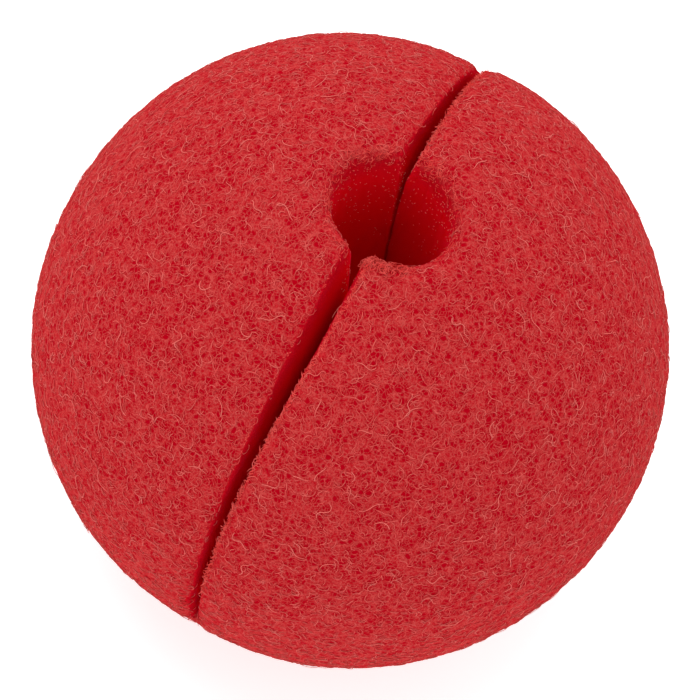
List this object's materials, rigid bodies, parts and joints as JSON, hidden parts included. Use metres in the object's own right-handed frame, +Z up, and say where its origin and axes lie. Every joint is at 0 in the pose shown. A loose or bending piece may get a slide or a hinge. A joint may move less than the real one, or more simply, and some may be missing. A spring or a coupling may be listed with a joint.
{
  "type": "clown nose",
  "caption": "Round foam clown nose, cut by a deep slit, with a round pocket in the slit for the wearer's nose.",
  "frame": {"origin": "centre of the ball's footprint on the table, under its middle", "axes": "+Z up, out of the nose pocket's mouth; +Y along the slit; +X across the slit"},
  "size_m": [0.0504, 0.0495, 0.0489],
  "materials": {
    "red_foam": "matt open-cell foam"
  },
  "bodies": {
    "root": {"foam_ball": "red_foam"}
  },
  "joints": []
}
